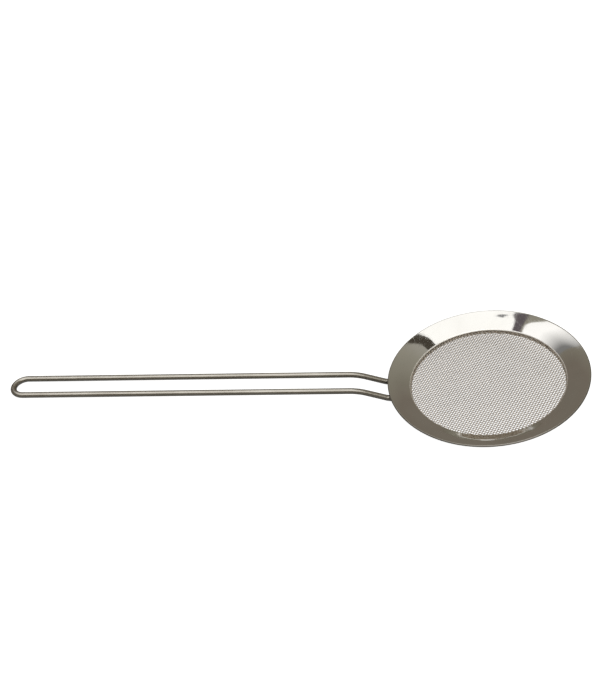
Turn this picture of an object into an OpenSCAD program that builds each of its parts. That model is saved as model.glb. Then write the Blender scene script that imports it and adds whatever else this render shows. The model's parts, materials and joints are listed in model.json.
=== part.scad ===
// Tea strainer: a shallow dish with a woven wire mesh floor and one bent wire for a handle.
// All lengths are millimetres. The dish is drawn level, with its axis on Z and the underside of
// its clamp ring at Z = 0, and is then laid down as it rests on a table, on the clamp ring's edge
// and on the loop at the end of the handle, because the wire handle outweighs the dish.

/* [Dish] */
// Outside diameter of the dish, over the folded edge
rim_d = 100; // [90:1:120]
// Diameter of the mesh that shows inside the dish
mesh_opening_d = 77; // [60:0.1:78]
// Height of the dish, from the clamp ring's underside to the top of the rim
dish_h = 7.2; // [6.8:0.1:10]
// Thickness of the steel sheet of the dish
sheet_t = 0.5; // [0.4:0.05:0.6]
// Radius of the inner lip, on the side that shows
lip_r = 0.6; // [0.55:0.05:1.5]
// Height of the straight collar below the lip
collar_h = 0.1; // [0.05:0.05:1]
// Slope of the flange at its lip, in degrees
lip_slope = 25; // [20:1:28]
// Slope of the flange at its rim, in degrees
rim_slope = 19; // [15:1:20]
// Width of the hem that is folded flat under the rim
hem_w = 2.6; // [1.5:0.1:3.5]

/* [Clamp ring] */
// Thickness of the clamp ring's wall
ring_t = 0.6; // [0.4:0.05:0.8]
// How far the clamp ring's foot reaches in past the collar
foot_reach = 0.25; // [0:0.05:1]
// Radius of the clamp ring's outer bottom corner
ring_corner_r = 0.4; // [0.2:0.05:0.5]

/* [Mesh] */
// Distance from one mesh wire to the next
mesh_pitch = 1.23; // [1:0.01:2.5]
// Diameter of a mesh wire
mesh_wire_d = 0.38; // [0.3:0.01:0.39]
// Height of one layer of wires, which is also the thickness of their pressed edge
layer_h = 0.4; // [0.4:0.01:0.5]
// Direction of the weft wires, in degrees from the handle
mesh_turn = -32; // [-90:1:90]

/* [Handle] */
// Diameter of the handle wire
wire_d = 3; // [2:0.1:3.5]
// Distance between the centres of the two legs
leg_pitch = 12.4; // [9:0.1:18]
// Distance of the wire's ends from the dish's axis
wire_start = 44.2; // [44:0.1:46]
// Slope of the wire under the flange, in degrees
seat_slope = 20.5; // [20:0.5:22]
// Slope of the wire from the rim up to the grip, in degrees
neck_slope = 29; // [22:1:35]
// Slope of the grip, in degrees
grip_slope = 10.4; // [5:0.1:14]
// Distance of the bend at the rim from the dish's axis
rim_bend_at = 51; // [50.6:0.1:52]
// Distance of the bend at the start of the grip from the dish's axis
grip_bend_at = 64.6; // [60:0.1:75]
// Distance of the grip's last straight point from the dish's axis
grip_end_at = 234.4; // [150:0.1:280]
// Radius of the bend at the rim, at the wire's centre
rim_bend_r = 8; // [5:1:12]
// Radius of the bend at the start of the grip, at the wire's centre
grip_bend_r = 28; // [15:1:35]

/* [Weld] */
// Radius of a weld bead
bead_r = 1.25; // [1:0.05:1.4]
// Length of a weld bead, between the centres of its round ends
bead_len = 3.2; // [2:0.1:4]
// Distance from the leg's end to the start of the bead
bead_start = 0.7; // [0.5:0.1:2]

/* [Hidden] */

steel_bright = [0.78, 0.77, 0.75];
steel_satin = [0.66, 0.65, 0.63];
steel_mesh = [0.74, 0.71, 0.68];
steel_weld = [0.45, 0.43, 0.41];

turn_fn = 180;      // facets of the round dish, where a viewer needs facets
wire_fn = 48;       // facets round the handle wire
mesh_fn = 16;       // facets round a mesh wire
arc_n = 8;          // points along a small arc of an outline
flange_n = 24;      // points along the flange's slope
fit = 0.03;         // space left between the flange and the wire or the ring under it
edge_gap = 0.5;     // space for the mesh's edge between the collar and the clamp ring
lap = 0.2;          // how far a straight stretch of wire runs into the bend after it
bend_proud = 0.02;  // how much fuller the wire is round a bend, so that it covers the lap
band_play = 0.05;   // space left on either side of the mesh's pressed edge
bead_sink = 0.5;    // how deep the bead's centre line lies in the leg
seat_step = 0.2;    // spacing of the points on the underside that the beads meet, as a share

rim_r = rim_d / 2;
opening_r = mesh_opening_d / 2;
foot_h = 2 * ring_t;
mesh_z = foot_h + layer_h;              // plane between the two layers of wires
collar_z = foot_h + 2 * layer_h;
lip_z = collar_z + collar_h;

// An arc's points, from angle a0 to angle a1
function arc(centre, r, a0, a1) =
    [for (i = [0 : arc_n]) let (a = a0 + (a1 - a0) * i / arc_n) centre + r * [cos(a), sin(a)]];
function reversed(points) = [for (i = [len(points) - 1 : -1 : 0]) points[i]];

// The flange's top surface flares from the lip to the rim: it flattens outwards in a faint wave
lip_c = [opening_r + lip_r, lip_z];
rim_c = [rim_r - sheet_t, dish_h - sheet_t];
top_start = lip_c + lip_r * [-sin(lip_slope), cos(lip_slope)];
top_end = rim_c + sheet_t * [-sin(rim_slope), cos(rim_slope)];
top_run = top_end - top_start;
top_wave = (top_run[1] - top_run[0] * (tan(lip_slope) + tan(rim_slope)) / 2) / (2 * PI);
top_bulge = top_run[0] * (tan(lip_slope) - tan(rim_slope)) / (2 * PI);
function top_point(u) = top_start
    + [top_run[0] * u, top_run[1] * u - top_wave * sin(360 * u) + top_bulge * sin(180 * u)];
function top_slope(u) =
    atan2(top_run[1] - 2 * PI * top_wave * cos(360 * u) + PI * top_bulge * cos(180 * u), top_run[0]);
function below_top(u, depth) = top_point(u) + depth * [sin(top_slope(u)), -cos(top_slope(u))];
function top_side(depth, u0, u1) =
    [for (i = [0 : flange_n]) let (u = u0 + (u1 - u0) * i / flange_n) below_top(u, depth)];
hem_u = 1 - hem_w / top_run[0];         // where the hem ends, as a share of the flange

// The clamp ring's outline
ring_in = opening_r + sheet_t + edge_gap;
ring_out = ring_in + ring_t;
foot_c = [opening_r - foot_reach + ring_t, ring_t];
corner_c = [ring_out - ring_corner_r, ring_corner_r];
ring_top_rise = ring_t * tan(lip_slope);
ring_top = below_top(0, sheet_t + fit)[1] + (ring_in - below_top(0, sheet_t + fit)[0]) * tan(lip_slope);

// The handle's corners, as [distance from the axis, height]; each leg is bent in one upright plane
leg_y = leg_pitch / 2;
wire_r = wire_d / 2;
seat_off = sheet_t + wire_r + fit;
seat_r = rim_c[0] + seat_off * sin(seat_slope);
seat_p = [sqrt(seat_r * seat_r - leg_y * leg_y), rim_c[1] - seat_off * cos(seat_slope)];
function on_line(p, slope, at) = [at, p[1] + (at - p[0]) * tan(slope)];
start_p = on_line(seat_p, seat_slope, wire_start);
rim_bend_p = on_line(seat_p, seat_slope, rim_bend_at);
grip_bend_p = on_line(rim_bend_p, neck_slope, grip_bend_at);
grip_end_p = on_line(grip_bend_p, grip_slope, grip_end_at);
rim_bend_cut = rim_bend_r * tan((neck_slope - seat_slope) / 2);
grip_bend_cut = grip_bend_r * tan((neck_slope - grip_slope) / 2);
loop_p = grip_end_p + leg_y * [cos(grip_slope), sin(grip_slope)];
seat_length = norm(rim_bend_p - start_p) - rim_bend_cut + lap;
function along(slope, length) = length * [cos(slope), sin(slope)];

// How the strainer lies on a table: the line under the ring's corner and the loop's wire
span = loop_p - corner_c;
rest_tilt = atan2(span[1], span[0]) - asin((wire_r - ring_corner_r) / norm(span));
rest_z = corner_c[0] * sin(rest_tilt) - corner_c[1] * cos(rest_tilt) + ring_corner_r;
far_left = -loop_p[0] * cos(rest_tilt) - loop_p[1] * sin(rest_tilt) - wire_r;
far_right = rim_c[0] * cos(rest_tilt) - rim_c[1] * sin(rest_tilt) + sheet_t;
rest_x = -(far_left + far_right) / 2;

// Lays a level piece down at rest, with the whole strainer centred over the origin
module at_rest() {
    translate([rest_x, 0, rest_z]) rotate([0, -rest_tilt, 0]) children();
}

// The dish: collar, lip, sloping flange and the hem folded under its edge, from one sheet
module flange_solid() {
    rotate_extrude($fn = turn_fn) polygon(concat(
        [[opening_r, collar_z]],
        arc(lip_c, lip_r, 180, 90 + lip_slope),
        top_side(0, 0, 1),
        arc(rim_c, sheet_t, 90 + rim_slope, rim_slope - 90),
        reversed(top_side(2 * sheet_t, hem_u, 1)),
        reversed(top_side(sheet_t, 0, hem_u)),
        arc(lip_c, lip_r - sheet_t, 90 + lip_slope, 180),
        [[opening_r + sheet_t, collar_z]]));
}

module rim_flange() {
    color(steel_bright) at_rest() flange_solid();
}

// The ring that holds the mesh to the dish: a wall with a foot folded double under the mesh
module clamp_ring() {
    color(steel_satin) at_rest() rotate_extrude($fn = turn_fn) polygon(concat(
        arc(foot_c, ring_t, 90, 270),
        arc(corner_c, ring_corner_r, -90, 0),
        [[ring_out, ring_top + ring_top_rise], [ring_in, ring_top], [ring_in, foot_h]]));
}

// One layer of the mesh: parallel wires, each a chord of the opening, in a pressed edge band
module mesh_layer(z, direction) {
    band_in = opening_r + band_play;
    band_out = ring_in - band_play;
    wire_end = (band_in + band_out) / 2;
    count = floor(opening_r / mesh_pitch);
    translate([0, 0, z]) {
        rotate_extrude($fn = turn_fn)
            translate([band_in, -layer_h / 2]) square([band_out - band_in, layer_h]);
        rotate([0, 0, direction]) for (i = [-count : count]) {
            half = sqrt(wire_end * wire_end - pow(i * mesh_pitch, 2));
            translate([-half, i * mesh_pitch, 0]) rotate([0, 90, 0])
                cylinder(d = mesh_wire_d, h = 2 * half, $fn = mesh_fn);
        }
    }
}

module mesh_warp() {
    color(steel_mesh) at_rest() mesh_layer(mesh_z + layer_h / 2, mesh_turn + 90);
}

module mesh_weft() {
    color(steel_mesh) at_rest() mesh_layer(mesh_z - layer_h / 2, mesh_turn);
}

// A straight stretch of wire from point p, at a slope, in the leg's own plane
module stretch(p, slope, length) {
    translate([-p[0], 0, p[1]]) rotate([0, slope - 90, 0])
        cylinder(r = wire_r, h = length, $fn = wire_fn);
}

// A turn of wire in the XY plane, round the origin, from angle 0
module turn(r, angle) {
    rotate_extrude(angle = angle, $fn = turn_fn)
        translate([r, 0]) circle(r = wire_r + bend_proud, $fn = wire_fn);
}

// A bend in the leg's plane that starts at point p with slope a and ends with slope b
module bend(p, a, b, r) {
    side = b > a ? 1 : -1;
    centre = p + side * r * [-sin(a), cos(a)];
    translate([-centre[0], 0, centre[1]]) rotate([90, 0, 0])
        rotate([0, 0, side > 0 ? 270 - b : 90 - a]) turn(r, abs(b - a));
}

// One leg of the handle, from its end under the flange to the loop
module leg(side) {
    neck = norm(grip_bend_p - rim_bend_p) - rim_bend_cut - grip_bend_cut;
    grip = norm(grip_end_p - grip_bend_p) - grip_bend_cut;
    translate([0, side * leg_y, 0]) {
        stretch(start_p, seat_slope, seat_length);
        bend(rim_bend_p - along(seat_slope, rim_bend_cut), seat_slope, neck_slope, rim_bend_r);
        stretch(rim_bend_p + along(neck_slope, rim_bend_cut - lap), neck_slope, neck + 2 * lap);
        bend(grip_bend_p - along(neck_slope, grip_bend_cut), neck_slope, grip_slope, grip_bend_r);
        stretch(grip_bend_p + along(grip_slope, grip_bend_cut - lap), grip_slope, grip + 2 * lap);
    }
}

// The loop that joins the two legs at the end of the grip
module loop() {
    translate([-grip_end_p[0], 0, grip_end_p[1]]) rotate([0, grip_slope, 0]) rotate([0, 0, 90])
        turn(leg_y, 180);
}

module handle_wire() {
    color(steel_satin) at_rest() {
        leg(1);
        leg(-1);
        loop();
    }
}

// The space above the flange's underside and its hem, where the weld beads stop
module above_seat() {
    rotate_extrude($fn = turn_fn) polygon(concat(
        [for (u = [seat_step : seat_step : hem_u]) below_top(u, sheet_t + fit)],
        [below_top(hem_u, 2 * sheet_t + fit), below_top(1, 2 * sheet_t + fit),
         [rim_r, dish_h + bead_r], [ring_in, dish_h + bead_r]]));
}

// A weld bead fills the corner between a leg's end and the flange above it
module weld_bead(side) {
    lift = wire_r - bead_sink;
    first = start_p + along(seat_slope, bead_start) + lift * [-sin(seat_slope), cos(seat_slope)];
    color(steel_weld) at_rest() difference() {
        translate([-first[0], side * leg_y, first[1]]) rotate([0, seat_slope - 90, 0]) {
            cylinder(r = bead_r, h = bead_len, $fn = wire_fn);
            sphere(r = bead_r, $fn = wire_fn);
            translate([0, 0, bead_len]) sphere(r = bead_r, $fn = wire_fn);
        }
        above_seat();
        translate([0, side * leg_y, 0]) stretch(start_p, seat_slope, seat_length);
    }
}

module weld_bead_left() { weld_bead(1); }
module weld_bead_right() { weld_bead(-1); }

rim_flange();
clamp_ring();
mesh_warp();
mesh_weft();
handle_wire();
weld_bead_left();
weld_bead_right();
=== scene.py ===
import json
from math import atan2, cos, pi, radians, sin, sqrt, tan

import bpy
from mathutils import Matrix, Vector


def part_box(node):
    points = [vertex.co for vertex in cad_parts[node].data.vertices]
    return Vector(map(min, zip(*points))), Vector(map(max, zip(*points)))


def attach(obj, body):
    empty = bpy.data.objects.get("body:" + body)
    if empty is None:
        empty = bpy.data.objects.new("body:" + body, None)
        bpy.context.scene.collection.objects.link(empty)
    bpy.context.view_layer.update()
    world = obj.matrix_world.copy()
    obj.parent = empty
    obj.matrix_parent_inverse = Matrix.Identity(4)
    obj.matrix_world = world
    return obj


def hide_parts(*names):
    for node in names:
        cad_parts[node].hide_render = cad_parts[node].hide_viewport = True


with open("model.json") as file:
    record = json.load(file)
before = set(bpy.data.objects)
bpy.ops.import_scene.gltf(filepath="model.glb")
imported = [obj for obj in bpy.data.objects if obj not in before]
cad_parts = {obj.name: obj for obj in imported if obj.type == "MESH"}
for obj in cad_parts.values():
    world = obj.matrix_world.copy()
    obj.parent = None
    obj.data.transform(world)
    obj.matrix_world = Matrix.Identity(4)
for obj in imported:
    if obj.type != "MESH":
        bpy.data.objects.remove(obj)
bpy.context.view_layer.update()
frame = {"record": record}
mm = 0.001  # the sizes in the dictionaries below are in millimetres
mergeDistance = 0.002 * mm  # points closer than this are one point

# the dish is modelled level, then laid down on its clamp ring's face the way it rests
restFace = next(m for m in frame["record"]["mounts"] if m["name"] == "rest_face")
dishCentre = Vector(restFace["pos_m"])
faceDown = Vector(restFace["axis"])
leanAngle = atan2(faceDown.x, -faceDown.z)
layDown = Matrix.Translation(restFace["pos_m"]) @ Matrix.Rotation(-leanAngle, 4, "Y")
rimLow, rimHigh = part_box("rim_flange")
rimDiameter = (rimHigh.y - rimLow.y) / mm


# small helpers for modelling

def deselectAll():
    if bpy.context.mode != "OBJECT":
        bpy.ops.object.mode_set(mode="OBJECT")
    bpy.ops.object.select_all(action="DESELECT")


def startPoint(name, at):
    # one loose point to draw an outline from
    deselectAll()
    bpy.ops.mesh.primitive_plane_add(size=mm, enter_editmode=True, location=(0, 0, 0))
    bpy.context.object.name = name
    bpy.ops.mesh.select_all(action="SELECT")
    bpy.ops.mesh.merge(type="CENTER")
    bpy.ops.transform.translate(value=at)
    return bpy.context.object


def extrudeBy(step):
    bpy.ops.mesh.extrude_region_move(TRANSFORM_OT_translate={"value": step})


def drawOutline(name, outline):
    # outline is (distance from the axis, height) in millimetres, and it closes on itself
    points = [Vector((r * mm, 0, z * mm)) for r, z in outline]
    piece = startPoint(name, points[0])
    for here, there in zip(points, points[1:]):
        extrudeBy(there - here)
    extrudeBy(points[0] - points[-1])
    return piece


def spinRound(steps):
    bpy.ops.mesh.select_all(action="SELECT")
    bpy.ops.mesh.spin(steps=steps, angle=2 * pi, center=(0, 0, 0), axis=(0, 0, 1), use_auto_merge=True)


def cleanUp():
    bpy.ops.mesh.select_all(action="SELECT")
    bpy.ops.mesh.remove_doubles(threshold=mergeDistance)
    bpy.ops.mesh.normals_make_consistent(inside=False)
    bpy.ops.object.mode_set(mode="OBJECT")


def finishPiece(piece, node, material, smoothAngle=40):
    # lay the level piece down at rest, with its place in its mesh
    deselectAll()
    piece.select_set(True)
    bpy.context.view_layer.objects.active = piece
    piece.matrix_world = layDown @ piece.matrix_world
    bpy.ops.object.transform_apply(location=True, rotation=True, scale=True)
    bpy.ops.object.shade_smooth_by_angle(angle=radians(smoothAngle))
    piece.data.materials.clear()
    piece.data.materials.append(material)
    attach(piece, "root")
    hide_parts(node)
    deselectAll()
    print("made", piece.name, len(piece.data.polygons), "faces")


def arc(centre, radius, fromAngle, toAngle, count=8):
    angles = [radians(fromAngle + (toAngle - fromAngle) * i / count) for i in range(count + 1)]
    return [(centre[0] + radius * cos(a), centre[1] + radius * sin(a)) for a in angles]


# node helpers

def newMaterial(name, baseColor, roughness, metallic=1.0):
    material = bpy.data.materials.new(name)
    material.use_nodes = True
    nodes, links = material.node_tree.nodes, material.node_tree.links
    shader = nodes["Principled BSDF"]
    shader.inputs["Base Color"].default_value = (*baseColor, 1)
    shader.inputs["Metallic"].default_value = metallic
    shader.inputs["Roughness"].default_value = roughness
    return material, nodes, links, shader


def newGroup(name, inputs, outputs):
    group = bpy.data.node_groups.new(name, "ShaderNodeTree")
    for socketName, kind, value in inputs:
        socket = group.interface.new_socket(name=socketName, in_out="INPUT", socket_type=kind)
        if value is not None:
            socket.default_value = value
    for socketName, kind in outputs:
        group.interface.new_socket(name=socketName, in_out="OUTPUT", socket_type=kind)
    start = group.nodes.new("NodeGroupInput")
    end = group.nodes.new("NodeGroupOutput")
    return group, group.nodes, group.links, start, end


def useGroup(nodes, group, **values):
    node = nodes.new("ShaderNodeGroup")
    node.node_tree = group
    for socketName, value in values.items():
        node.inputs[socketName].default_value = value
    return node


def mathNode(nodes, links, operation, first, second=None, third=None):
    node = nodes.new("ShaderNodeMath")
    node.operation = operation
    for i, value in enumerate((first, second, third)):
        if value is None:
            continue
        if isinstance(value, (int, float)):
            node.inputs[i].default_value = value
        else:
            links.new(value, node.inputs[i])
    return node.outputs[0]


def remap(nodes, links, value, fromMin, fromMax, toMin, toMax):
    node = nodes.new("ShaderNodeMapRange")
    node.clamp = True
    links.new(value, node.inputs["Value"])
    ends = {"From Min": fromMin, "From Max": fromMax, "To Min": toMin, "To Max": toMax}
    for socketName, number in ends.items():
        node.inputs[socketName].default_value = number
    return node.outputs["Result"]


def mixColor(nodes, links, factor, first, second):
    node = nodes.new("ShaderNodeMix")
    node.data_type = "RGBA"
    links.new(factor, node.inputs["Factor"])
    for socket, value in ((node.inputs[6], first), (node.inputs[7], second)):
        if isinstance(value, tuple):
            socket.default_value = (*value, 1)
        else:
            links.new(value, socket)
    return node.outputs[2]


def bumpNode(nodes, links, height, distance):
    node = nodes.new("ShaderNodeBump")
    node.inputs["Strength"].default_value = 1.0
    node.inputs["Distance"].default_value = distance
    links.new(height, node.inputs["Height"])
    return node.outputs["Normal"]


def addWear(nodes, links, place, smudgeScale, scratchScale):
    marks = useGroup(nodes, wear, **{"Smudge Scale": smudgeScale, "Scratch Scale": scratchScale})
    links.new(place, marks.inputs["Vector"])
    return marks


def dishCoordinates(nodes, links):
    # object coordinates turned back to the level dish, centred on its axis
    coordinates = nodes.new("ShaderNodeTexCoord")
    mapping = nodes.new("ShaderNodeMapping")
    mapping.vector_type = "TEXTURE"
    mapping.inputs["Location"].default_value = layDown.translation
    mapping.inputs["Rotation"].default_value = layDown.to_euler()
    links.new(coordinates.outputs["Object"], mapping.inputs["Vector"])
    return mapping.outputs["Vector"]


# shared effects

def makeRoundGrain():
    # fine marks that run round the dish's axis, as from a buffing wheel or a lathe
    group, nodes, links, start, end = newGroup(
        "roundGrain",
        [("Vector", "NodeSocketVector", None), ("Lines", "NodeSocketFloat", 9000.0),
         ("Breaks", "NodeSocketFloat", 3.0), ("Spokes", "NodeSocketFloat", 40.0)],
        [("Lines", "NodeSocketFloat"), ("Spokes", "NodeSocketFloat")])
    split = nodes.new("ShaderNodeSeparateXYZ")
    links.new(start.outputs["Vector"], split.inputs[0])
    x, y, z = split.outputs
    xSquared = mathNode(nodes, links, "MULTIPLY", x, x)
    ySquared = mathNode(nodes, links, "MULTIPLY", y, y)
    radius = mathNode(nodes, links, "SQRT", mathNode(nodes, links, "ADD", xSquared, ySquared))
    angle = mathNode(nodes, links, "ARCTAN2", y, x)
    reach = mathNode(nodes, links, "ADD", radius, z)
    outward = mathNode(nodes, links, "MULTIPLY", reach, start.outputs["Lines"])
    for label, acrossScale, roundScale in (("Lines", 1.0, "Breaks"), ("Spokes", 0.02, "Spokes")):
        place = nodes.new("ShaderNodeCombineXYZ")
        links.new(mathNode(nodes, links, "MULTIPLY", outward, acrossScale), place.inputs[0])
        turn = start.outputs[roundScale]
        for i, wave in ((1, "COSINE"), (2, "SINE")):
            swing = mathNode(nodes, links, wave, angle)
            links.new(mathNode(nodes, links, "MULTIPLY", swing, turn), place.inputs[i])
        noise = nodes.new("ShaderNodeTexNoise")
        noise.inputs["Scale"].default_value = 1.0
        noise.inputs["Detail"].default_value = 3.0
        links.new(place.outputs[0], noise.inputs["Vector"])
        links.new(noise.outputs["Fac"], end.inputs[label])
    return group


def makeWear():
    # soft smudges and fine hairline scratches from use
    group, nodes, links, start, end = newGroup(
        "wear",
        [("Vector", "NodeSocketVector", None), ("Smudge Scale", "NodeSocketFloat", 60.0),
         ("Scratch Scale", "NodeSocketFloat", 300.0)],
        [("Smudges", "NodeSocketFloat"), ("Scratches", "NodeSocketFloat")])
    smudges = nodes.new("ShaderNodeTexNoise")
    smudges.inputs["Detail"].default_value = 4.0
    smudges.inputs["Distortion"].default_value = 0.6
    links.new(start.outputs["Vector"], smudges.inputs["Vector"])
    links.new(start.outputs["Smudge Scale"], smudges.inputs["Scale"])
    links.new(remap(nodes, links, smudges.outputs["Fac"], 0.35, 0.7, 0, 1), end.inputs["Smudges"])
    bend = nodes.new("ShaderNodeTexNoise")
    bend.inputs["Scale"].default_value = 40.0
    links.new(start.outputs["Vector"], bend.inputs["Vector"])
    mixed = nodes.new("ShaderNodeVectorMath")
    mixed.operation = "MULTIPLY_ADD"
    mixed.inputs[1].default_value = (0.02, 0.02, 0.02)
    links.new(bend.outputs["Color"], mixed.inputs[0])
    links.new(start.outputs["Vector"], mixed.inputs[2])
    cells = nodes.new("ShaderNodeTexVoronoi")
    cells.feature = "DISTANCE_TO_EDGE"
    links.new(mixed.outputs[0], cells.inputs["Vector"])
    links.new(start.outputs["Scratch Scale"], cells.inputs["Scale"])
    links.new(remap(nodes, links, cells.outputs["Distance"], 0.0, 0.02, 1, 0), end.inputs["Scratches"])
    return group


roundGrain = makeRoundGrain()
wear = makeWear()
print("shared effects ready")


# the dish: one pressed sheet with collar, lip, flaring slope and folded hem

flange = {
    "openingDiameter": 77,
    "rimHeight": 7.2,
    "sheet": 0.5,
    "collarFoot": 2.0,
    "lipHeight": 2.1,
    "lipRadius": 0.6,
    "lipSlope": 25,
    "rimSlope": 19,
    "hemWidth": 2.6,
    "slopePoints": 40,
    "turnSteps": 240,
}


def flangeOutline(f):
    # closed section of the pressed sheet, from the collar's foot over the rim and back under the hem
    lipTilt, rimTilt = radians(f["lipSlope"]), radians(f["rimSlope"])
    sheet = f["sheet"]
    lip = (f["openingDiameter"] / 2 + f["lipRadius"], f["lipHeight"])
    rim = (rimDiameter / 2 - sheet, f["rimHeight"] - sheet)
    startR, startZ = lip[0] - f["lipRadius"] * sin(lipTilt), lip[1] + f["lipRadius"] * cos(lipTilt)
    runR = rim[0] - sheet * sin(rimTilt) - startR
    runZ = rim[1] + sheet * cos(rimTilt) - startZ
    wave = (runZ - runR * (tan(lipTilt) + tan(rimTilt)) / 2) / (2 * pi)
    bulge = runR * (tan(lipTilt) - tan(rimTilt)) / (2 * pi)

    def under(u, depth):
        tilt = atan2(runZ - 2 * pi * wave * cos(2 * pi * u) + pi * bulge * cos(pi * u), runR)
        return (startR + runR * u + depth * sin(tilt),
                startZ + runZ * u - wave * sin(2 * pi * u) + bulge * sin(pi * u) - depth * cos(tilt))

    count = f["slopePoints"]
    hemStart = 1 - f["hemWidth"] / runR
    top = [under(i / count, 0) for i in range(1, count)]
    hem = [under(1 - (1 - hemStart) * i / 8, 2 * sheet) for i in range(1, 9)]
    back = [under(hemStart * (1 - i / count), sheet) for i in range(count)]
    foot = f["openingDiameter"] / 2
    return ([(foot, f["collarFoot"])]
            + arc(lip, f["lipRadius"], 180, 90 + f["lipSlope"], 12) + top
            + arc(rim, sheet, 90 + f["rimSlope"], f["rimSlope"] - 90, 12) + hem + back
            + arc(lip, f["lipRadius"] - sheet, 90 + f["lipSlope"], 180)
            + [(foot + sheet, f["collarFoot"])])


def mirrorSteel():
    material, nodes, links, shader = newMaterial("mirrorSteel", (0.7, 0.69, 0.67), 0.05)
    place = dishCoordinates(nodes, links)
    grain = useGroup(nodes, roundGrain, Lines=16000.0, Breaks=2.5, Spokes=30.0)
    links.new(place, grain.inputs["Vector"])
    marks = addWear(nodes, links, place, smudgeScale=45.0, scratchScale=140.0)
    # buffing spokes and smudges dull the mirror a little
    spokes = remap(nodes, links, grain.outputs["Spokes"], 0.35, 0.7, 0, 1)
    dull = mathNode(nodes, links, "MULTIPLY_ADD", spokes, 0.035,
                    mathNode(nodes, links, "MULTIPLY_ADD", marks.outputs["Smudges"], 0.04, 0.035))
    scratched = mathNode(nodes, links, "MULTIPLY_ADD", marks.outputs["Scratches"], 0.06, dull)
    # the folded edge of the rim is left duller than the slope, and its darker colour there is painted shade
    # that dims the edge's highlight
    fromAxis = nodes.new("ShaderNodeVectorMath")
    fromAxis.operation = "LENGTH"
    links.new(place, fromAxis.inputs[0])
    edgeStart = rimDiameter / 2 * mm
    edge = remap(nodes, links, fromAxis.outputs["Value"], edgeStart, edgeStart + 0.1 * mm, 0, 1)
    # the lip round the opening is satin, and its pale colour is a painted highlight
    lipEnd = (flange["openingDiameter"] / 2 + flange["lipRadius"]) * mm
    lip = remap(nodes, links, fromAxis.outputs["Value"], lipEnd, lipEnd + 0.2 * mm, 1, 0)
    edged = mathNode(nodes, links, "MULTIPLY_ADD", edge, 0.25, scratched)
    links.new(mathNode(nodes, links, "MULTIPLY_ADD", lip, 0.35, edged), shader.inputs["Roughness"])
    bright = mixColor(nodes, links, marks.outputs["Smudges"], (0.72, 0.71, 0.69), (0.67, 0.66, 0.635))
    # painted highlight: the lip's colour is mixed towards pale
    pale = mixColor(nodes, links, lip, bright, (0.95, 0.93, 0.9))
    # painted shade: the rim's folded edge is given a dark colour
    links.new(mixColor(nodes, links, edge, pale, (0.3, 0.28, 0.25)), shader.inputs["Base Color"])
    ripple = nodes.new("ShaderNodeTexNoise")
    ripple.inputs["Scale"].default_value = 90.0
    ripple.inputs["Detail"].default_value = 1.0
    links.new(place, ripple.inputs["Vector"])
    height = mathNode(nodes, links, "MULTIPLY_ADD", grain.outputs["Lines"], 0.02, ripple.outputs["Fac"])
    links.new(bumpNode(nodes, links, height, 0.012 * mm), shader.inputs["Normal"])
    return material


def makeFlange(f):
    piece = drawOutline("rimFlange", flangeOutline(f))
    spinRound(f["turnSteps"])
    cleanUp()
    finishPiece(piece, "rim_flange", mirrorSteel())


makeFlange(flange)


# the clamp ring: a wall with its foot folded double under the mesh

ring = {
    "innerDiameter": 79,
    "wall": 0.6,
    "footInnerDiameter": 76.5,
    "cornerRadius": 0.4,
    "wallTop": 2.36,
    "topSlope": 25,
    "turnSteps": 240,
}


def ringOutline(r):
    wall = r["wall"]
    inner, outer = r["innerDiameter"] / 2, r["innerDiameter"] / 2 + wall
    fold = (r["footInnerDiameter"] / 2 + wall, wall)
    corner = (outer - r["cornerRadius"], r["cornerRadius"])
    outerTop = r["wallTop"] + wall * tan(radians(r["topSlope"]))
    return (arc(fold, wall, 90, 270, 12) + arc(corner, r["cornerRadius"], -90, 0)
            + [(outer, outerTop), (inner, r["wallTop"]), (inner, 2 * wall)])


def turnedSteelLightened():
    # painted light: the pale, part-diffuse colour lightens the ring where it sits in shade under the mesh
    # and flange
    material, nodes, links, shader = newMaterial("turnedSteelLightened", (0.6, 0.59, 0.57), 0.24, metallic=0.35)
    place = dishCoordinates(nodes, links)
    grain = useGroup(nodes, roundGrain, Lines=9000.0, Breaks=4.0, Spokes=60.0)
    links.new(place, grain.inputs["Vector"])
    marks = addWear(nodes, links, place, smudgeScale=90.0, scratchScale=260.0)
    dull = mathNode(nodes, links, "MULTIPLY_ADD", grain.outputs["Lines"], 0.16,
                    mathNode(nodes, links, "MULTIPLY_ADD", marks.outputs["Smudges"], 0.08, 0.34))
    links.new(dull, shader.inputs["Roughness"])
    links.new(mixColor(nodes, links, marks.outputs["Smudges"], (0.92, 0.9, 0.87), (0.84, 0.81, 0.77)),
              shader.inputs["Base Color"])
    links.new(bumpNode(nodes, links, grain.outputs["Lines"], 0.01 * mm), shader.inputs["Normal"])
    return material


def makeRing(r):
    piece = drawOutline("clampRing", ringOutline(r))
    spinRound(r["turnSteps"])
    cleanUp()
    finishPiece(piece, "clamp_ring", turnedSteelLightened())


makeRing(ring)


# the mesh: two sets of crimped wires in a plain weave

cloth = {
    "pitch": 1.23,
    "wireDiameter": 0.38,
    "weftCrimp": 0.1,
    "warpCrimp": 0.28,
    "height": 1.6,
    "edgeRadius": 39.3,
    "turn": -32,
    "sides": 6,
    "stepsPerWave": 8,
    "waves": 33,
    "unevenness": 0.1,
    "driftSizes": {"X": 11, "Y": 14, "Z": 20},
}


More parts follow.
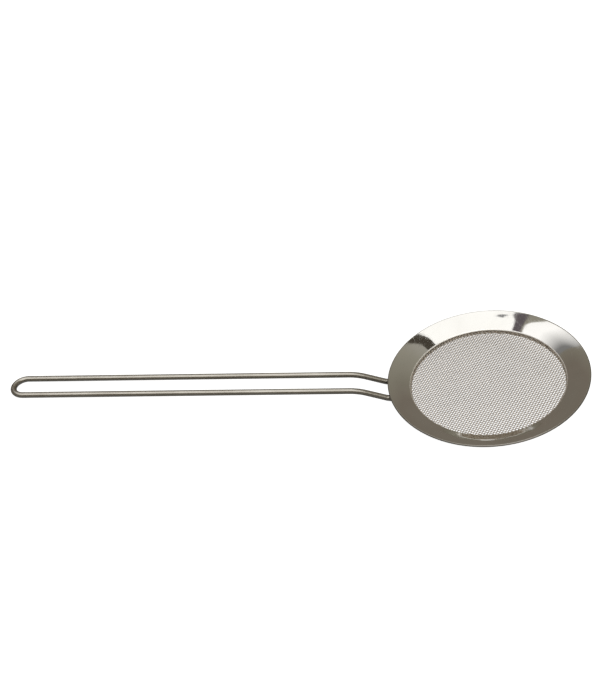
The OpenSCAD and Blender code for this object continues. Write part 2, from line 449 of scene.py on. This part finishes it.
def clothSteel():
    material, nodes, links, shader = newMaterial("clothSteel", (0.72, 0.69, 0.66), 0.3)
    place = dishCoordinates(nodes, links)
    marks = addWear(nodes, links, place, smudgeScale=120.0, scratchScale=500.0)
    split = nodes.new("ShaderNodeSeparateXYZ")
    links.new(place, split.inputs[0])
    # the crowns of the crimps are rubbed bright; nearer the middle height of the cloth the wires are darker,
    # partly a film kept in the hollows and partly painted shade where the layers cross
    above = mathNode(nodes, links, "SUBTRACT", split.outputs[2], cloth["height"] * mm)
    away = mathNode(nodes, links, "ABSOLUTE", above)
    crownWearAndShade = remap(nodes, links, away, 0.05 * mm, 0.36 * mm, 0, 1)
    wearAndShadeTone = mixColor(nodes, links, crownWearAndShade, (0.33, 0.285, 0.235), (0.73, 0.645, 0.54))
    links.new(mixColor(nodes, links, mathNode(nodes, links, "MULTIPLY", marks.outputs["Smudges"], 0.5), wearAndShadeTone,
                       (0.44, 0.37, 0.29)), shader.inputs["Base Color"])
    links.new(mathNode(nodes, links, "MULTIPLY_ADD", marks.outputs["Smudges"], 0.1,
                       remap(nodes, links, crownWearAndShade, 0, 1, 0.36, 0.24)), shader.inputs["Roughness"])
    dieLines = nodes.new("ShaderNodeTexNoise")
    dieLines.inputs["Scale"].default_value = 14000.0
    links.new(place, dieLines.inputs["Vector"])
    links.new(bumpNode(nodes, links, dieLines.outputs["Fac"], 0.008 * mm), shader.inputs["Normal"])
    return material


def makeWave(name, c, crimp):
    # one full wave of wire along X, closed by the array that repeats it
    deselectAll()
    pitch = c["pitch"] * mm
    begin = Vector((-c["waves"] * pitch, 0, crimp * mm))
    bpy.ops.mesh.primitive_circle_add(vertices=c["sides"], radius=c["wireDiameter"] / 2 * mm,
                                      fill_type="NOTHING", enter_editmode=True, location=begin,
                                      rotation=(0, pi / 2, 0))
    wave = bpy.context.object
    wave.name = name
    steps = c["stepsPerWave"]
    heights = [crimp * mm * cos(2 * pi * i / steps) for i in range(steps + 1)]
    for low, high in zip(heights, heights[1:]):
        extrudeBy((2 * pitch / steps, 0, high - low))
    bpy.ops.object.mode_set(mode="OBJECT")
    bpy.ops.object.transform_apply(location=True, rotation=True, scale=True)
    return wave


def repeat(piece, count, step):
    array = piece.modifiers.new("repeat", "ARRAY")
    array.count = count
    array.use_relative_offset = False
    array.use_constant_offset = True
    array.constant_offset_displace = step
    array.use_merge_vertices = True
    array.merge_threshold = mergeDistance
    bpy.context.view_layer.objects.active = piece
    bpy.ops.object.modifier_apply(modifier="repeat")


def makeLayer(name, node, c, turn, crimp):
    pitch = c["pitch"] * mm
    rows = int(c["edgeRadius"] / c["pitch"])
    wires = []
    for parity in (0, 1):
        # neighbouring wires pass the other way over and under
        wire = makeWave(f"{name}{parity}", c, crimp if (rows + parity) % 2 == 0 else -crimp)
        repeat(wire, c["waves"], (2 * pitch, 0, 0))
        wire.location.y = (parity - rows) * pitch
        bpy.ops.object.transform_apply(location=True, rotation=False, scale=False)
        repeat(wire, rows + 1 - parity, (0, 2 * pitch, 0))
        wires.append(wire)
    for wire in wires:
        wire.select_set(True)
    bpy.context.view_layer.objects.active = wires[0]
    bpy.ops.object.join()
    piece = bpy.context.object
    piece.name = name
    # trim every wire to its chord of the opening
    edge = c["edgeRadius"] * mm
    for vertex in piece.data.vertices:
        row = round(vertex.co.y / pitch) * pitch
        vertex.select = abs(vertex.co.x) > sqrt(max(edge * edge - row * row, 0))
    for part in (*piece.data.edges, *piece.data.polygons):
        part.select = False
    bpy.ops.object.mode_set(mode="EDIT")
    bpy.ops.mesh.select_mode(type="VERT")
    bpy.ops.mesh.delete(type="VERT")
    bpy.ops.mesh.select_all(action="SELECT")
    bpy.ops.mesh.fill_holes(sides=c["sides"])
    bpy.ops.transform.translate(value=(0, 0, c["height"] * mm))
    cleanUp()
    piece.rotation_euler.z = radians(turn)
    bpy.ops.object.transform_apply(location=False, rotation=True, scale=False)
    # the cloth is never quite even: a slight drift sideways and up and down, the same in both layers
    for direction, size in c["driftSizes"].items():
        clouds = bpy.data.textures.new("drift" + direction, "CLOUDS")
        clouds.noise_scale = size * mm
        clouds.noise_depth = 0
        drift = piece.modifiers.new("drift" + direction, "DISPLACE")
        drift.texture = clouds
        drift.texture_coords = "LOCAL"
        drift.direction = direction
        drift.strength = c["unevenness"] * mm
        bpy.ops.object.modifier_apply(modifier=drift.name)
    finishPiece(piece, node, clothSteel(), smoothAngle=80)


makeLayer("weftWires", "mesh_weft", cloth, cloth["turn"], cloth["weftCrimp"])
makeLayer("warpWires", "mesh_warp", cloth, cloth["turn"] + 90, -cloth["warpCrimp"])


# the handle: one wire, bent at the rim, at the grip and round the end

handle = {
    "wireDiameter": 3.0,
    "legPitch": 12.4,
    "start": 44.2,
    "seatSlope": 20.5,
    "neckSlope": 29,
    "gripSlope": 10.4,
    "rimBend": 51.0,
    "gripBend": 64.6,
    "gripEnd": 234.4,
    "rimBendRadius": 8,
    "gripBendRadius": 28,
    "sheetGap": 0.03,
    "sides": 32,
}


def drawnSteel():
    material, nodes, links, shader = newMaterial("drawnSteel", (0.6, 0.585, 0.56), 0.22)
    coordinates = nodes.new("ShaderNodeTexCoord")
    place = coordinates.outputs["Object"]
    mapping = nodes.new("ShaderNodeMapping")
    mapping.inputs["Scale"].default_value = (60, 5200, 5200)
    links.new(place, mapping.inputs["Vector"])
    dieLines = nodes.new("ShaderNodeTexNoise")
    dieLines.inputs["Scale"].default_value = 1.0
    dieLines.inputs["Detail"].default_value = 3.0
    links.new(mapping.outputs[0], dieLines.inputs["Vector"])
    marks = addWear(nodes, links, place, smudgeScale=70.0, scratchScale=220.0)
    dull = mathNode(nodes, links, "MULTIPLY_ADD", dieLines.outputs["Fac"], 0.12,
                    mathNode(nodes, links, "MULTIPLY_ADD", marks.outputs["Smudges"], 0.06, 0.14))
    links.new(dull, shader.inputs["Roughness"])
    links.new(mixColor(nodes, links, marks.outputs["Smudges"], (0.5, 0.475, 0.43), (0.42, 0.395, 0.35)),
              shader.inputs["Base Color"])
    links.new(bumpNode(nodes, links, dieLines.outputs["Fac"], 0.01 * mm), shader.inputs["Normal"])
    return material


def along(slope, length):
    return Vector((-length * cos(slope) * mm, 0, length * sin(slope) * mm))


def bendWire(at, slope, angle, radius, steps):
    # the selected end of the wire turns up (or down, for a negative angle) in its own upright plane
    side = 1 if angle > 0 else -1
    upright = Vector((sin(slope), 0, cos(slope))) * side * radius * mm
    bpy.ops.mesh.spin(steps=steps, angle=abs(angle), center=at + upright, axis=(0, -side, 0))


def makeHandle(h):
    seat, neck, grip = (radians(h[key]) for key in ("seatSlope", "neckSlope", "gripSlope"))
    half = h["legPitch"] / 2
    # the wire's line under the flange touches the hem just inside the rim
    offset = flange["sheet"] + h["wireDiameter"] / 2 + h["sheetGap"]
    touchR = rimDiameter / 2 - flange["sheet"] + offset * sin(seat)
    touchX = sqrt(touchR ** 2 - half ** 2)
    touchZ = flange["rimHeight"] - flange["sheet"] - offset * cos(seat)
    startZ = touchZ + (h["start"] - touchX) * tan(seat)
    rimLength = (h["rimBend"] - h["start"]) / cos(seat)
    neckLength = (h["gripBend"] - h["rimBend"]) / cos(neck)
    gripLength = (h["gripEnd"] - h["gripBend"]) / cos(grip)
    rimCut = h["rimBendRadius"] * tan((neck - seat) / 2)
    gripCut = h["gripBendRadius"] * tan((neck - grip) / 2)

    deselectAll()
    at = Vector((-h["start"] * mm, half * mm, startZ * mm))
    bpy.ops.mesh.primitive_circle_add(vertices=h["sides"], radius=h["wireDiameter"] / 2 * mm,
                                      fill_type="NGON", enter_editmode=True, location=at,
                                      rotation=(0, seat - pi / 2, 0))
    piece = bpy.context.object
    piece.name = "handleWire"
    bpy.ops.mesh.select_all(action="SELECT")

    def straight(slope, length, steps):
        nonlocal at
        for _ in range(steps):
            extrudeBy(along(slope, length / steps))
        at = at + along(slope, length)

    def turnUp(slope, angle, radius, steps):
        nonlocal at
        bendWire(at, slope, angle, radius, steps)
        cut = radius * tan(abs(angle) / 2)
        at = at + along(slope, cut) + along(slope + angle, cut)

    straight(seat, rimLength - rimCut, 4)
    turnUp(seat, neck - seat, h["rimBendRadius"], 6)
    straight(neck, neckLength - rimCut - gripCut, 4)
    turnUp(neck, grip - neck, h["gripBendRadius"], 10)
    straight(grip, gripLength - gripCut, 24)
    loopCentre = at - Vector((0, half * mm, 0))
    bpy.ops.mesh.spin(steps=16, angle=pi / 2, center=loopCentre, axis=(-sin(grip), 0, -cos(grip)))
    bpy.ops.mesh.delete(type="ONLY_FACE")
    bpy.ops.object.mode_set(mode="OBJECT")
    bpy.ops.object.transform_apply(location=True, rotation=True, scale=True)
    mirror = piece.modifiers.new("otherLeg", "MIRROR")
    mirror.use_axis = (False, True, False)
    mirror.merge_threshold = 0.02 * mm
    bpy.ops.object.modifier_apply(modifier="otherLeg")
    bpy.ops.object.mode_set(mode="EDIT")
    cleanUp()
    finishPiece(piece, "handle_wire", drawnSteel(), smoothAngle=50)
    return startZ, seat


wireStartZ, seatAngle = makeHandle(handle)


# the welds: a lumpy bead in the corner between each leg and the flange

bead = {
    "length": 5.2,
    "width": 3.0,
    "thickness": 1.7,
    "alongLeg": 2.2,
    "lift": 1.4,
    "lumps": 0.22,
    "lumpSize": 0.9,
}


def weldSteel():
    material, nodes, links, shader = newMaterial("weldSteel", (0.42, 0.4, 0.38), 0.42)
    place = dishCoordinates(nodes, links)
    marks = addWear(nodes, links, place, smudgeScale=700.0, scratchScale=900.0)
    ripples = nodes.new("ShaderNodeTexWave")
    ripples.bands_direction = "X"
    ripples.inputs["Scale"].default_value = 420.0
    ripples.inputs["Distortion"].default_value = 2.0
    links.new(place, ripples.inputs["Vector"])
    links.new(mixColor(nodes, links, marks.outputs["Smudges"], (0.47, 0.44, 0.4), (0.3, 0.24, 0.2)),
              shader.inputs["Base Color"])
    links.new(remap(nodes, links, marks.outputs["Smudges"], 0, 1, 0.32, 0.55), shader.inputs["Roughness"])
    links.new(bumpNode(nodes, links, ripples.outputs["Fac"], 0.05 * mm), shader.inputs["Normal"])
    return material


def makeBead(name, node, side, b, material):
    deselectAll()
    at = Vector((-handle["start"] * mm, side * handle["legPitch"] / 2 * mm, wireStartZ * mm))
    at = at + along(seatAngle, b["alongLeg"])
    at = at + Vector((sin(seatAngle), 0, cos(seatAngle))) * b["lift"] * mm
    bpy.ops.mesh.primitive_uv_sphere_add(segments=40, ring_count=24, radius=mm / 2, enter_editmode=True,
                                         location=at, rotation=(0, seatAngle, 0))
    piece = bpy.context.object
    piece.name = name
    bpy.ops.mesh.select_all(action="SELECT")
    bpy.ops.object.mode_set(mode="OBJECT")
    piece.scale = (b["length"], b["width"], b["thickness"])
    bpy.ops.object.transform_apply(location=True, rotation=True, scale=True)
    clouds = bpy.data.textures.new("lumps", "CLOUDS")
    clouds.noise_scale = b["lumpSize"] * mm
    lumps = piece.modifiers.new("lumps", "DISPLACE")
    lumps.texture = clouds
    lumps.texture_coords = "LOCAL"
    lumps.strength = b["lumps"] * mm
    bpy.ops.object.modifier_apply(modifier="lumps")
    bpy.ops.object.mode_set(mode="EDIT")
    cleanUp()
    finishPiece(piece, node, material, smoothAngle=80)


weldFinish = weldSteel()
makeBead("weldBeadLeft", "weld_bead_left", 1, bead, weldFinish)
makeBead("weldBeadRight", "weld_bead_right", -1, bead, weldFinish)


# floor, light and camera

studio = {
    "ceiling": 3.0,
    "layerGap": 0.01,
    "fadeFrom": 1.3,
    "fadeTo": 1.62,
    "fadedGlow": 0.25,
    "floorSize": 8,
    "floorWhite": 0.95,
    "paperGrey": 0.4,
    "floorGrey": 0.3,
    # painted pool of light under the mesh, seen only in reflections
    "litPoolWhite": 0.9,
}
# flat panels over the dish: colour, strength, then the corners in ceiling heights from its axis
ceilingPieces = {
    "overheadPanel": ((1.0, 0.995, 0.97), 1.4,
                      ((-1.2, -1.05), (-0.53, 0.13), (-0.13, 0.84), (-0.09, 0.84), (0.85, -1.05))),
    "sidePanel": ((1.0, 0.99, 0.975), 1.4, ((-1.3, -1.05), (-1.6, 1.0), (-0.38, 1.0), (-0.62, 0.13))),
    "sideSeam": ((0.14, 0.12, 0.13), 1.0,
                 ((-0.64, 0.1), (-0.5, 0.3), (-0.4, 0.44), (-0.33, 0.42), (-0.38, 0.28), (-0.52, 0.1))),
    "rightFlag": ((0.07, 0.06, 0.045), 1.0, ((0.235, 0.16), (0.02, 0.62), (0.11, 0.64), (0.34, 0.2))),
    "lens": ((0.3, 0.3, 0.3), 1.0, ((-0.36, 0.14), (-0.35, 0.26), (-0.3, 0.22), (-0.3, 0.16))),
}


def makeFloor(s):
    deselectAll()
    bpy.ops.mesh.primitive_plane_add(size=s["floorSize"], location=(0, 0, 0))
    floor = bpy.context.object
    floor.name = "floor"
    material = bpy.data.materials.new("paleFloor")
    material.use_nodes = True
    nodes, links = material.node_tree.nodes, material.node_tree.links
    nodes.remove(nodes["Principled BSDF"])
    output = nodes["Material Output"]
    glow = nodes.new("ShaderNodeEmission")
    glow.inputs["Strength"].default_value = s["floorWhite"]
    paper = nodes.new("ShaderNodeBsdfDiffuse")
    paper.inputs["Color"].default_value = (s["paperGrey"], s["paperGrey"], s["paperGrey"], 1)
    seen = nodes.new("ShaderNodeAddShader")
    links.new(glow.outputs[0], seen.inputs[0])
    links.new(paper.outputs[0], seen.inputs[1])
    unseen = nodes.new("ShaderNodeBsdfDiffuse")
    # in reflections the floor is grey, with a painted pool of light under the mesh
    coordinates = nodes.new("ShaderNodeTexCoord")
    away = nodes.new("ShaderNodeVectorMath")
    away.operation = "DISTANCE"
    away.inputs[1].default_value = (dishCentre.x, dishCentre.y, 0)
    links.new(coordinates.outputs["Object"], away.inputs[0])
    opening = flange["openingDiameter"] / 2 * mm
    rim = rimDiameter / 2 * mm
    greyWithLitPool = remap(nodes, links, away.outputs["Value"], opening, rim, s["litPoolWhite"], s["floorGrey"])
    links.new(greyWithLitPool, unseen.inputs["Color"])
    path = nodes.new("ShaderNodeLightPath")
    top = nodes.new("ShaderNodeMixShader")
    links.new(path.outputs["Is Camera Ray"], top.inputs[0])
    links.new(unseen.outputs[0], top.inputs[1])
    links.new(seen.outputs[0], top.inputs[2])
    # from below the floor lets the view through
    side = nodes.new("ShaderNodeNewGeometry")
    clear = nodes.new("ShaderNodeBsdfTransparent")
    both = nodes.new("ShaderNodeMixShader")
    links.new(side.outputs["Backfacing"], both.inputs[0])
    links.new(top.outputs[0], both.inputs[1])
    links.new(clear.outputs[0], both.inputs[2])
    links.new(both.outputs[0], output.inputs["Surface"])
    floor.data.materials.append(material)


# the room's shade by height: how far up the direction points, then its colour
roomShades = ((0.0, (0.21, 0.18, 0.145)), (0.2, (0.215, 0.19, 0.155)), (0.45, (0.215, 0.185, 0.15)),
              (0.65, (0.27, 0.25, 0.2)), (0.85, (0.36, 0.34, 0.28)), (1.0, (0.5, 0.48, 0.44)))


def makeWorld(shades):
    world = bpy.data.worlds.new("studioRoom")
    bpy.context.scene.world = world
    world.use_nodes = True
    nodes, links = world.node_tree.nodes, world.node_tree.links
    background = nodes["Background"]
    coordinates = nodes.new("ShaderNodeTexCoord")
    split = nodes.new("ShaderNodeSeparateXYZ")
    links.new(coordinates.outputs["Generated"], split.inputs[0])
    ramp = nodes.new("ShaderNodeValToRGB")
    links.new(split.outputs[2], ramp.inputs[0])
    for element, (position, color) in zip(ramp.color_ramp.elements, (shades[0], shades[-1])):
        element.position = position
        element.color = (*color, 1)
    for position, color in shades[1:-1]:
        ramp.color_ramp.elements.new(position).color = (*color, 1)
    path = nodes.new("ShaderNodeLightPath")
    links.new(mixColor(nodes, links, path.outputs["Is Camera Ray"], ramp.outputs[0], (1.0, 1.0, 1.0)),
              background.inputs["Color"])


def makeCeilingPiece(name, color, strength, corners, lift):
    # a flat panel above the dish that only its reflections and its light show
    deselectAll()
    height = studio["ceiling"]
    bpy.ops.mesh.primitive_circle_add(vertices=len(corners), radius=1, fill_type="NGON")
    panel = bpy.context.object
    panel.name = name
    for vertex, corner in zip(panel.data.vertices, corners):
        vertex.co = (dishCentre.x + corner[0] * height, corner[1] * height, height - lift)
    material = bpy.data.materials.new(name)
    material.use_nodes = True
    nodes, links = material.node_tree.nodes, material.node_tree.links
    nodes.remove(nodes["Principled BSDF"])
    glow = nodes.new("ShaderNodeEmission")
    glow.inputs["Color"].default_value = (*color, 1)
    glow.inputs["Strength"].default_value = strength
    links.new(glow.outputs[0], nodes["Material Output"].inputs["Surface"])
    panel.data.materials.append(material)
    panel.visible_camera = False
    return nodes, links, glow


def makeCeiling():
    for i, (name, (color, strength, corners)) in enumerate(ceilingPieces.items()):
        nodes, links, glow = makeCeilingPiece(name, color, strength, corners, studio["layerGap"] * i)
        if name == "sidePanel":
            # the side panel fades out towards the far wall
            coordinates = nodes.new("ShaderNodeTexCoord")
            distance = nodes.new("ShaderNodeVectorMath")
            distance.operation = "LENGTH"
            links.new(coordinates.outputs["Object"], distance.inputs[0])
            fadeFrom, fadeTo = (studio[key] * studio["ceiling"] for key in ("fadeFrom", "fadeTo"))
            faded = remap(nodes, links, distance.outputs["Value"], fadeFrom, fadeTo,
                          strength, studio["fadedGlow"])
            links.new(faded, glow.inputs["Strength"])


cameraView = {
    "lens": 41.116,
    "location": (0.01129, -0.30324, 0.28431),
    "rotation": (49.884, 0.229, 1.195),
}


def makeCamera(view):
    data = bpy.data.cameras.new("camera")
    data.lens = view["lens"]
    camera = bpy.data.objects.new("camera", data)
    bpy.context.scene.collection.objects.link(camera)
    camera.location = view["location"]
    camera.rotation_euler = [radians(angle) for angle in view["rotation"]]
    bpy.context.scene.camera = camera


makeFloor(studio)
makeWorld(roomShades)
makeCeiling()
makeCamera(cameraView)
bpy.context.scene.view_settings.view_transform = "Standard"
print("floor, light and camera ready")
